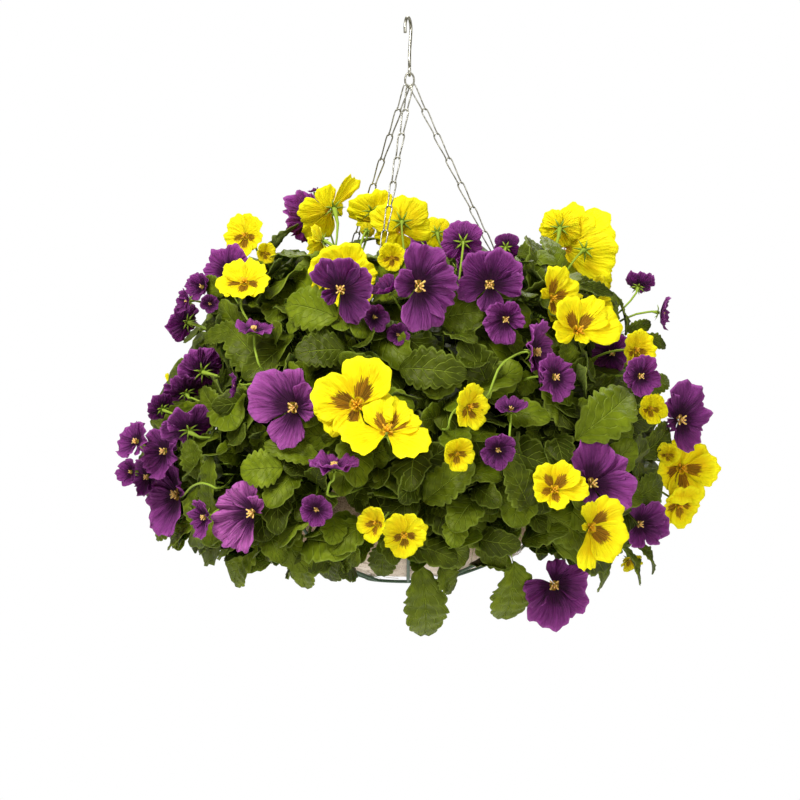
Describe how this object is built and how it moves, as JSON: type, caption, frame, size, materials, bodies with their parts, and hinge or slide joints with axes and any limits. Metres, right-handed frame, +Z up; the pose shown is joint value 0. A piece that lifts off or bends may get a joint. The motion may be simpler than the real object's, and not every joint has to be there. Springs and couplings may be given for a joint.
{
  "type": "pansy hanging basket",
  "caption": "Wire basket with a coir liner, filled with purple and yellow pansies and hung by chains from an open hook.",
  "frame": {"origin": "the seat inside the hook's crown, where it hangs on its bracket", "axes": "+Z up, -Y towards the viewer of the picture, +X to the viewer's right"},
  "size_m": [0.5884, 0.5863, 0.6026],
  "materials": {
    "galvanised_wire": "bright galvanised wire",
    "green_wire": "dark green coated wire",
    "coir": "matted brown coir fibre",
    "soil": "dark crumbly potting compost",
    "leaf": "glossy dark green leaf with paler margins",
    "purple_petal": "soft velvety purple petal",
    "yellow_petal": "soft velvety yellow petal with dark blotches"
  },
  "bodies": {
    "root": {"basket_frame": "green_wire", "chain_1": "galvanised_wire", "chain_2": "galvanised_wire", "chain_3": "galvanised_wire", "coir_liner": "coir", "gather_ring": "galvanised_wire", "hook": "galvanised_wire", "pansy_plant_1": "leaf", "pansy_plant_2": "leaf", "pansy_plant_3": "leaf", "pansy_plant_4": "leaf", "pansy_plant_5": "leaf", "pansy_plant_6": "leaf", "purple_bloom_02": "purple_petal", "purple_bloom_10": "purple_petal", "purple_bloom_15": "purple_petal", "purple_bloom_17": "purple_petal", "purple_bloom_18": "purple_petal", "purple_bloom_19": "purple_petal", "purple_bloom_20": "purple_petal", "purple_bloom_24": "purple_petal", "purple_bloom_26": "purple_petal", "purple_bloom_27": "purple_petal", "purple_bloom_31": "purple_petal", "purple_bloom_32": "purple_petal", "purple_bloom_33": "purple_petal", "purple_bloom_34": "purple_petal", "purple_bloom_44": "purple_petal", "purple_bloom_back_01": "purple_petal", "purple_bloom_back_03": "purple_petal", "purple_bloom_back_04": "purple_petal", "purple_bloom_back_06": "purple_petal", "purple_bloom_back_07": "purple_petal", "purple_bloom_back_09": "purple_petal", "purple_bloom_back_10": "purple_petal", "soil": "soil", "yellow_bloom_03": "yellow_petal", "yellow_bloom_04": "yellow_petal", "yellow_bloom_07": "yellow_petal", "yellow_bloom_08": "yellow_petal", "yellow_bloom_09": "yellow_petal", "yellow_bloom_12": "yellow_petal", "yellow_bloom_13": "yellow_petal", "yellow_bloom_14": "yellow_petal", "yellow_bloom_16": "yellow_petal", "yellow_bloom_17": "yellow_petal", "yellow_bloom_21": "yellow_petal", "yellow_bloom_22": "yellow_petal", "yellow_bloom_back_02": "yellow_petal", "yellow_bloom_back_05": "yellow_petal", "yellow_bloom_back_08": "yellow_petal", "yellow_bloom_back_11": "yellow_petal"}
  },
  "joints": []
}
